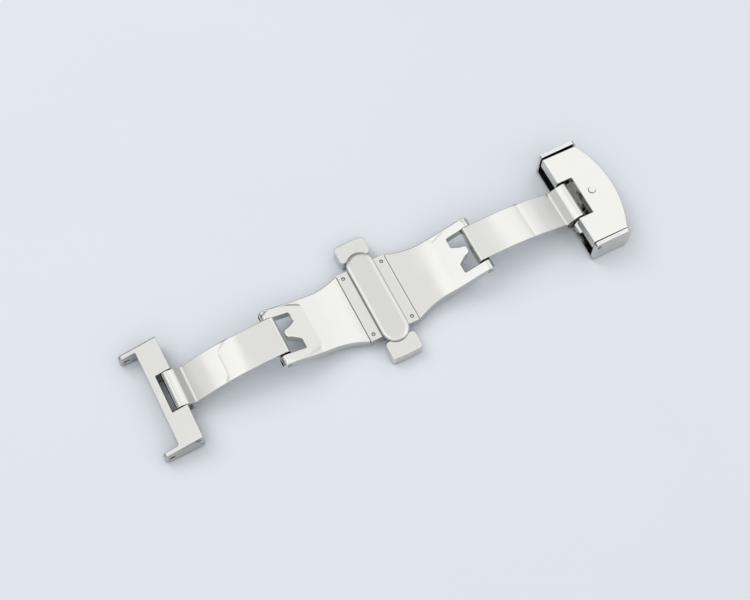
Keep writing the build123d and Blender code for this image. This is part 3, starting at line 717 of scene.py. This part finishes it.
def blade_underside(x, y):
    """Lower face of a blade: an arc about the same centre, and under the ear its round."""
    centre, radius = BLADE_ARC
    arc = centre - np.sqrt((radius + BLADE_THICKNESS) ** 2 - x**2)
    ball = BASE_PIN[1] - ear_rise(x)
    return np.where(x > BASE_PIN[0] - EAR_BACK, np.maximum(ball, arc), arc) + 0 * y


def blade_outline():
    """Plan of the right blade: a root, an S-shaped waist, two ears and a tongue between them."""
    root = BLADE_JOINT + JOINT_GAP
    share = np.linspace(0, 1, 24)[3:-1]
    x = root + (WAIST_X - root) * share
    start = share * (1 - share) ** 2 * WAIST_SLOPE * (WAIST_X - root)
    bow = ROOT_HALF + (WAIST_HALF - ROOT_HALF) * smooth_step(share) + start
    waist = np.stack([x, -bow], axis=1)
    tip = BASE_PIN[0] + EAR_RADIUS
    half = [
        (root, -ROOT_HALF),
        *waist.tolist(),
        (WAIST_X + 1.2, -WAIST_HALF),
        (tip, -WAIST_HALF),
        (tip, -WINDOW_HALF),
        (WINDOW_X, -WINDOW_HALF),
        *TONGUE,
    ]
    radii = [0.22, *[0.0] * len(waist), 0.0, 0.45, 0.3, 0.25, 0.35, 0.7, 0.66]
    other = [(x, -y) for x, y in half[::-1]]
    return rounded_loop(half + other, np.maximum(radii + radii[::-1], 0.02), 0.25)


def mirrored(loop):
    """The same outline on the other side of the lock, still anticlockwise."""
    return loop[::-1] * (-1, 1)


class CLASP_OT_blades(Operator):
    """Builds the two curved blades with their ears and tongues"""

    bl_idname = "clasp.blades"
    bl_label = "Blades"

    def execute(self, context):
        edge = context.scene.clasp_sizes.edge_round / MM
        loop = blade_outline()
        for node, outline in (("right_blade", loop), ("left_blade", mirrored(loop))):
            step = BLADE_STEPS[node]
            piece = plate(
                node + "_polished",
                outline,
                lambda x, y, step=step: blade_surface(np.abs(x), y, step),
                lambda x, y: blade_underside(np.abs(x), y),
                edge=edge,
                under=0.12,
                spacing=0.22,
            )
            wear(piece, "polished_steel", "base")
            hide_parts(node)
        return {"FINISHED"}


def cover_surface(x, y):
    """Upper face of the cover plate: nearly flat, with a broad even bevel along the rim, the two
    joined by a hyperbola of the distance from where they would meet."""
    beyond = np.maximum(np.abs(y) - (COVER_REACH - COVER_HALF), 0)
    into = COVER_RIM - (COVER_HALF - np.hypot(x, beyond))
    bevel = COVER_BEVEL * (into + np.sqrt(into**2 + COVER_SOFTNESS))
    return RAIL_TOP + COVER_THICKNESS - COVER_CROWN * x**2 - bevel


class CLASP_OT_lock(Operator):
    """Builds the lock housing and the cover plate on its rails"""

    bl_idname = "clasp.lock"
    bl_label = "Lock"

    def execute(self, context):
        polished_copy("lock_housing")
        half, reach = COVER_HALF, COVER_REACH
        corners = [(-half, -reach), (half, -reach), (half, reach), (-half, reach)]
        loop = rounded_loop(corners, [half] * 4)
        cover = plate(
            "cover_plate_polished",
            loop,
            cover_surface,
            even(RAIL_TOP),
            edge=0.22,
            spacing=0.16,
        )
        wear(cover, "satin_steel", "base")
        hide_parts("cover_plate")
        heads = [(x, y, STRIP_TOP) for x in (-RIVET_X, RIVET_X) for y in (-RIVET_Y, RIVET_Y)]
        profile = [(0.0, -0.3), (0.25, -0.3), (0.25, -0.04), (0.21, 0.0), (0.1, 0.012), (0, 0.015)]
        rivets = turned_on_axis("flange_rivets_polished", profile, heads)
        wear(rivets, "pin_steel", "base")
        return {"FINISHED"}


class CLASP_OT_pushers(Operator):
    """Builds the two pushers, round-cornered blocks with broad polished edges"""

    bl_idname = "clasp.pushers"
    bl_label = "Pushers"

    def execute(self, context):
        inner, outer = PUSHER_INNER, PUSHER_OUTER
        bow = np.linspace(-1, 1, 9)
        crown = np.stack([bow * PUSHER_HALF, outer + PUSHER_CROWN * (1 - bow**2)], axis=1)[::-1]
        corners = [(-PUSHER_HALF, inner), (PUSHER_HALF, inner), *crown.tolist()]
        radii = [0.75, 0.75, 0.5, *[0.02] * 7, 0.5]
        rear = rounded_loop(corners, radii)
        faces = even(PUSHER_TOP), even(PUSHER_BOTTOM)
        for node, loop in (("rear_pusher", rear), ("front_pusher", rear * (-1, -1))):
            piece = plate(node + "_polished", loop, *faces, edge=0.15, under=0.1)
            wear(piece, "pusher_steel", body_of(node))
            neck = polished_copy(node)
            neck.name = node + "_neck"
            trim_outside(neck, PUSHER_INNER * MM)
        return {"FINISHED"}


def trim_outside(piece, reach):
    """Takes away the part of a copied pusher that lies outside the lock, where its new head is."""
    work = bmesh.new()
    work.from_mesh(piece.data)
    gone = [face for face in work.faces if abs(face.calc_center_median().y) > reach]
    bmesh.ops.delete(work, geom=gone, context="FACES")
    bmesh.ops.holes_fill(work, edges=[edge for edge in work.edges if edge.is_boundary], sides=0)
    work.to_mesh(piece.data)
    work.free()


def arc_through(first, middle, last, count):
    """Points on the circle through three points, from the first to the last."""
    first, middle, last = (np.asarray(p, float) for p in (first, middle, last))
    a, b = middle - first, last - first
    cross = 2 * (a[0] * b[1] - a[1] * b[0])
    along = [b[1] * (a @ a) - a[1] * (b @ b), a[0] * (b @ b) - b[0] * (a @ a)]
    centre = first + np.array(along) / cross
    start, end = (np.arctan2(*(p - centre)[::-1]) for p in (first, last))
    turn = (end - start + pi) % (2 * pi) - pi
    angle = start + turn * np.linspace(0, 1, count)
    radius = np.linalg.norm(first - centre)
    return centre + radius * np.stack([np.cos(angle), np.sin(angle)], axis=1)


def arm_side_view():
    """Side view of an arm, anticlockwise, in lengths along the line from pin to pin and above it: a
    lip, two arcs that meet at the crease, a joggle up to the barrel, and the same underneath."""
    end = ARM_LENGTH
    angle = np.linspace(pi, pi + 3.85, 24)
    eye = 1.1 * np.stack([np.cos(angle), np.sin(angle)], axis=1)
    under = arc_through((0.83, 0.83), (5.2, 0.89), (9.59, 0.59), 18)
    fall = arc_through((9.59, 0.59), (12.95, -0.15), (16.1, -1.2), 16)[1:]
    angle = np.linspace(-2.93, 2.125, 44)
    barrel = np.stack([end + 0.95 * np.cos(angle), 0.95 * np.sin(angle)], axis=1)
    joggle = [(end - 0.95, 0.66), (end - 1.3, 0.5)]
    bend = [(16.45, -0.3), (16.25, -0.42)]
    top = arc_through((16.1, -0.4), (12.95, 0.6), (9.59, 1.34), 16)
    rise = arc_through((9.59, 1.34), (4.25, 1.67), (-0.6, 1.49), 20)[1:]
    lip = arc_through((-0.6, 1.48), (-0.95, 1.32), (-1.1, 0.95), 8)[1:]
    parts = (eye, under, fall, barrel, joggle, bend, top, rise, lip)
    return resample(np.concatenate([np.asarray(part, float) for part in parts]), 0.08)


def crease_line(side, y):
    """Where the polished crease crosses an arm: straight on the right arm, and on the left S-shaped,
    with a soft shift near each edge, given by its length and by where it starts and its span."""
    straight = CREASE_X - CREASE_SLANT * y
    back, back_y, back_span = REAR_BEND
    front, front_y, front_span = FRONT_BEND
    bent = BENT_CREASE_X - back * smooth_step((y - back_y) / back_span)
    bent = bent + front * smooth_step((-y - front_y) / front_span)
    return straight if side > 0 else bent


def arm_piece(side):
    """An arm: its side view carried across the strap with rounded rims, and on its upper face a
    shallow valley along the crease, exponential in the distance from it on each side."""
    tilt = np.arcsin((BASE_PIN[1] - OUTER_PINS[side][1]) / ARM_LENGTH)
    view = arm_side_view()
    along = BASE_PIN[0] + view[:, 0] * cos(tilt) + view[:, 1] * sin(tilt)
    loop = np.stack([along, BASE_PIN[1] - view[:, 0] * sin(tilt) + view[:, 1] * cos(tilt)], axis=1)
    if side < 0:
        loop = mirrored(loop)
    sides = even(ARM_HALF), even(-ARM_HALF)
    shape = plate_surface(loop, *sides, edge=0.15, under=0.15, levels=ARM_LEVELS)
    points, faces, normals = shape
    points = np.column_stack([points[:, 0], -points[:, 2], points[:, 1]])
    normals = np.column_stack([normals[:, 0], -normals[:, 2], normals[:, 1]])
    away = np.abs(points[:, 0]) - crease_line(side, points[:, 1])
    depth, width = CREASE_VALLEYS[side]
    far = np.sqrt(away**2 + VALLEY_SOFTNESS)
    valley = depth * np.exp(-far / width) * np.clip(normals[:, 2] * 3 - 1.5, 0, 1)
    points[:, 2] -= valley
    normals[:, 0] -= np.sign(points[:, 0]) * valley / width * away / far
    return points, faces, normals


class CLASP_OT_arms(Operator):
    """Builds the two folding arms with their creases, joggles and barrels"""

    bl_idname = "clasp.arms"
    bl_label = "Arms"

    def execute(self, context):
        for node, side in (("left_arm", -1), ("right_arm", 1)):
            piece = solid(node + "_polished", *arm_piece(side))
            wear(piece, "polished_steel", body_of(node))
            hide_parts(node)
        return {"FINISHED"}


def clamp_outline():
    """Plan of the clamp plate: a D with a bowed back and a notch for the arm's barrel."""
    half, notch = CLAMP_HALF, CLAMP_NOTCH_HALF
    back = arc_through((CLAMP_SIDE, -half), (CLAMP_BACK, 0), (CLAMP_SIDE, half), 100)
    front = [
        (CLAMP_FRONT, half),
        (CLAMP_FRONT, notch),
        (CLAMP_NOTCH, notch),
        (CLAMP_NOTCH, -notch),
        (CLAMP_FRONT, -notch),
        (CLAMP_FRONT, -half),
    ]
    radii = [0.3, *[0.02] * 98, 0.3, 0.27, 0.27, 0.15, 0.15, 0.27, 0.27]
    return rounded_loop(back.tolist() + front, radii, 0.2)


def clamp_surface(x, y):
    """Upper face of the clamp plate: it falls slightly to the back, and a fine groove rings the
    head of the strap peg, a bell curve of the distance from the circle."""
    away = np.hypot(x - PEG_X, y)
    groove = GROOVE_DEPTH * np.exp(-(((away - GROOVE_RADIUS) / GROOVE_WIDTH) ** 2))
    return CLAMP_TOP - CLAMP_FALL * (x - CLAMP_FRONT) - groove


class CLASP_OT_ends(Operator):
    """Builds the strap bar, the buckle shell and the clamp plate"""

    bl_idname = "clasp.ends"
    bl_label = "Ends"

    def execute(self, context):
        polished_copy("strap_bar", finish="bar_steel")
        polished_copy("buckle_shell", clamp=True)
        radii = (0.2, 0.36, 0.44, 0.49, 0.53, 0.56, 0.58, 0.6, 0.63, 0.67, 0.72, 0.86)
        piece = plate(
            "clamp_plate_polished",
            clamp_outline(),
            clamp_surface,
            even(CLAMP_BOTTOM),
            edge=0.25,
            spacing=0.35,
            rings=((PEG_X, 0), radii),
        )
        wear(piece, "polished_steel", "clamp")
        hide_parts("clamp_plate")
        return {"FINISHED"}


def uneven_rim(angle, radius):
    """Rise of a staked pin's end: a cosine round the pin that grows with the radius."""
    return PIN_WOBBLE * radius * np.cos(PIN_LOBES * angle + PIN_PHASE)


class CLASP_OT_pin_heads(Operator):
    """Builds the staked ends of the hinge pins, dished discs with uneven rims"""

    bl_idname = "clasp.pin_heads"
    bl_label = "Pin heads"

    def execute(self, context):
        rim = [(0, -0.2), (0.43, -0.2), (0.45, -0.02), (0.4, 0.05)]
        profile = [*rim, (0.3, 0.03), (0.12, -0.1), (0, -0.12)]
        ends = {
            "base": [(side * BASE_PIN[0], WAIST_HALF, BASE_PIN[1]) for side in (-1, 1)],
            "strap_end": [(OUTER_PINS[-1][0], END_HALF, OUTER_PINS[-1][1])],
            "buckle": [(OUTER_PINS[1][0], END_HALF, OUTER_PINS[1][1])],
        }
        for body, places in ends.items():
            for turn, label in ((1, "rear"), (-1, "front")):
                centres = np.asarray(places) * (1, turn, 1)
                piece = turned_on_axis(
                    f"{body}_{label}_pin_heads",
                    profile,
                    centres,
                    "+Y" if turn > 0 else "-Y",
                    wobble=uneven_rim,
                )
                wear(piece, "pin_steel", body, "dark_steel")
        return {"FINISHED"}


class CLASP_OT_small_parts(Operator):
    """Gives the pins, rivets and catches their finish, the catches and the buckle's hinge pin darkened
    as painted shade, and builds the return spring
    """

    bl_idname = "clasp.small_parts"
    bl_label = "Small parts"

    def execute(self, context):
        for part in frame["record"]["subparts"]:
            node = frame["nodes"][part["node"]]
            node.data.materials.clear()
            finish = part["material_slot"]
            if part["node"] in ("strap_peg", "flange_rivets"):
                finish = "polished_steel"
            # Painted shade: the catches and the buckle's hinge pin, seen deep in the slots, get steel
            # darkened to 0.36
            if part["node"] in ("left_catches", "right_catches", "buckle_hinge_pin"):
                finish = "dark_steel"
            node.data.materials.append(metals()[finish])
        for side, joint in ((1, "rear_push"), (-1, "front_push")):
            half = spring_half(side)
            wear(half, "spring_steel", "base")
            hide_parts("return_spring")
            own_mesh(half)
        return {"FINISHED"}


def spring_half(side):
    """Half of the return spring, on one side of the lock's middle: a round wire whose centre runs on
    a helix about a line along Y, with circles square to its run, and closed ends."""
    low, high = np.asarray(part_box("return_spring"), float) / MM
    reach = 2 * pi * SPRING_TURNS
    turn = side * np.linspace(0, reach, SPRING_STEPS)
    around = np.linspace(0, 2 * pi, SPRING_SIDES, endpoint=False)[None, :, None]
    pitch = (high[1] - SPRING_WIRE) / reach
    level = 0 * turn
    out = np.stack([np.cos(turn), level, np.sin(turn)], axis=1)
    ahead = [-SPRING_RADIUS * np.sin(turn), pitch + level, SPRING_RADIUS * np.cos(turn)]
    ahead = side * np.stack(ahead, axis=1)
    ahead /= np.linalg.norm(ahead, axis=1)[:, None]
    across = np.cross(ahead, out)
    middle = np.stack([level, pitch * turn, level + (low[2] + high[2]) / 2], axis=1)
    centre = SPRING_RADIUS * out + middle
    normals = np.cos(around) * out[:, None] + np.sin(around) * across[:, None]
    points = centre[:, None] + SPRING_WIRE * normals
    faces = wrapped_quads(SPRING_STEPS, SPRING_SIDES).tolist()
    first = np.arange(SPRING_SIDES)
    faces += [first[::-1].tolist(), (first + (SPRING_STEPS - 1) * SPRING_SIDES).tolist()]
    name = ("rear" if side > 0 else "front") + "_spring_half"
    return solid(name, points.reshape(-1, 3), faces, normals.reshape(-1, 3))


def grid(name, rows):
    """A mesh of a grid of points, given as an array of rows by columns by three."""
    count_u, count_v = rows.shape[:2]
    mesh = bpy.data.meshes.new(name)
    first = (np.arange(count_u - 1)[:, None] * count_v + np.arange(count_v - 1)).ravel()
    faces = np.stack([first, first + count_v, first + count_v + 1, first + 1], axis=1)
    mesh.from_pydata(rows.reshape(-1, 3), [], faces.tolist())
    return show(name, mesh)


class CLASP_OT_stage(Operator):
    """Sets the camera, the table, the world and the lamp"""

    bl_idname = "clasp.stage"
    bl_label = "Stage"

    def execute(self, context):
        stage = context.scene.clasp_stage
        set_camera(stage)
        set_table(stage)
        set_world(stage)
        set_lamp()
        context.scene.view_settings.view_transform = "Standard"
        return {"FINISHED"}


def set_camera(stage):
    """Puts the camera on a sphere round the middle of the view, looking at it."""
    turn, height = radians(stage.azimuth), radians(stage.elevation)
    back = Vector((sin(turn) * cos(height), -cos(turn) * cos(height), sin(height)))
    data = bpy.data.cameras.new("camera")
    data.lens = stage.focal
    data.sensor_width = 36
    data.clip_start = 0.01
    camera = show("camera", data)
    camera.location = VIEW_MIDDLE + back * stage.distance
    aim(camera, -back)
    bpy.context.scene.camera = camera


def set_table(stage):
    """A wide table: a flat grid, matt, with a faint mottle in its colour."""
    line = np.linspace(-TABLE_REACH, TABLE_REACH, 9)
    x, y = np.meshgrid(line, line, indexing="ij")
    table = grid("table", np.stack([x, y, np.zeros_like(x)], axis=2))
    material, tree, shader = blank_material("table_top")
    place = add(tree, "ShaderNodeTexCoord")
    mottle = add(tree, "ShaderNodeTexNoise", {"Scale": 25, "Detail": 3})
    tint = add(tree, "ShaderNodeMix", data_type="RGBA")
    tint.inputs["A"].default_value = (*[c * TABLE_DARK for c in stage.floor], 1)
    tint.inputs["B"].default_value = (*[min(1, c * TABLE_LIGHT) for c in stage.floor], 1)
    join(tree, place, "Object", mottle, "Vector")
    join(tree, mottle, "Fac", tint, "Factor")
    join(tree, tint, "Result", shader, "Base Color")
    shader.inputs["Roughness"].default_value = 0.7
    shader.inputs["Specular IOR Level"].default_value = 0.2
    table.data.materials.append(material)


def ramp(tree, position, stops):
    """A smooth curve of light against one coordinate of the direction, from -1 to 1."""
    span = add(tree, "ShaderNodeMapRange", {"From Min": -1, "From Max": 1})
    curve = add(tree, "ShaderNodeValToRGB")
    curve.color_ramp.interpolation = "EASE"
    while len(curve.color_ramp.elements) < len(stops):
        curve.color_ramp.elements.new(0.5)
    for element, (place, level) in zip(curve.color_ramp.elements, stops):
        element.position = (place + 1) / 2
        element.color = (level, level, level, 1)
    tree.links.new(position, span.inputs["Value"])
    join(tree, span, "Result", curve, "Fac")
    return curve.outputs["Color"]


def set_world(stage):
    """The studio that the steel reflects: a pale tent with two brighter panels, one to each end of
    the clasp, and darker towards the horizon and behind. The camera itself sees a plain pale wall."""
    world = bpy.data.worlds.new("studio")
    bpy.context.scene.world = world
    world.use_nodes = True
    tree = world.node_tree
    background = tree.nodes["Background"]
    place = add(tree, "ShaderNodeTexCoord")
    split = add(tree, "ShaderNodeSeparateXYZ")
    join(tree, place, "Generated", split, "Vector")
    along = ramp(tree, split.outputs["X"], ALONG_STOPS)
    across = ramp(tree, split.outputs["Y"], ACROSS_STOPS)
    height = ramp(tree, split.outputs["Z"], HEIGHT_STOPS)
    first = add(tree, "ShaderNodeVectorMath", operation="MULTIPLY")
    second = add(tree, "ShaderNodeVectorMath", operation="MULTIPLY")
    tree.links.new(along, first.inputs[0])
    tree.links.new(across, first.inputs[1])
    join(tree, first, "Vector", second, 0)
    tree.links.new(height, second.inputs[1])
    path = add(tree, "ShaderNodeLightPath")
    choice = add(tree, "ShaderNodeMix", data_type="RGBA")
    choice.inputs["B"].default_value = (*[c * WALL_SHARE for c in stage.floor], 1)
    join(tree, path, "Is Camera Ray", choice, "Factor")
    join(tree, second, "Vector", choice, "A")
    join(tree, choice, "Result", background, "Color")
    background.inputs["Strength"].default_value = STUDIO_LIGHT


def set_lamp():
    """One large soft lamp, high at the rear left, for the shadows."""
    data = bpy.data.lights.new("key", "AREA")
    data.shape = "DISK"
    data.size = LAMP_SIZE
    data.energy = LAMP_POWER
    lamp = show("key", data)
    lamp.location = LAMP_PLACE
    aim(lamp, -LAMP_PLACE)
    lamp.visible_glossy = False


class CLASP_PT_panel(Panel):
    """Lists the steps of the clasp in the sidebar"""

    bl_idname = "CLASP_PT_panel"
    bl_label = "Butterfly clasp"
    bl_space_type = "VIEW_3D"
    bl_region_type = "UI"
    bl_category = "Clasp"

    def draw(self, context):
        for group in (context.scene.clasp_sizes, context.scene.clasp_finish, context.scene.clasp_stage):
            for name in group.bl_rna.properties.keys():
                if name not in ("rna_type", "name"):
                    self.layout.prop(group, name)
        for step in STEPS:
            self.layout.operator(step.bl_idname)


STEPS = (
    CLASP_OT_blades,
    CLASP_OT_lock,
    CLASP_OT_pushers,
    CLASP_OT_arms,
    CLASP_OT_ends,
    CLASP_OT_pin_heads,
    CLASP_OT_small_parts,
    CLASP_OT_stage,
)
GROUPS = {"clasp_sizes": ClaspSizes, "clasp_finish": ClaspFinish, "clasp_stage": ClaspStage}


def register():
    """Registers the settings, the steps and the panel."""
    for name, group in GROUPS.items():
        bpy.utils.register_class(group)
        setattr(bpy.types.Scene, name, PointerProperty(type=group))
    for step in (*STEPS, CLASP_PT_panel):
        bpy.utils.register_class(step)


def unregister():
    """Takes back what register adds."""
    for step in reversed((*STEPS, CLASP_PT_panel)):
        bpy.utils.unregister_class(step)
    for name, group in GROUPS.items():
        delattr(bpy.types.Scene, name)
        bpy.utils.unregister_class(group)


def main():
    """Builds the clasp and its stage, step by step."""
    register()
    for step in STEPS:
        group, operator = step.bl_idname.split(".")
        getattr(getattr(bpy.ops, group), operator)()


if __name__ == "__main__":
    main()
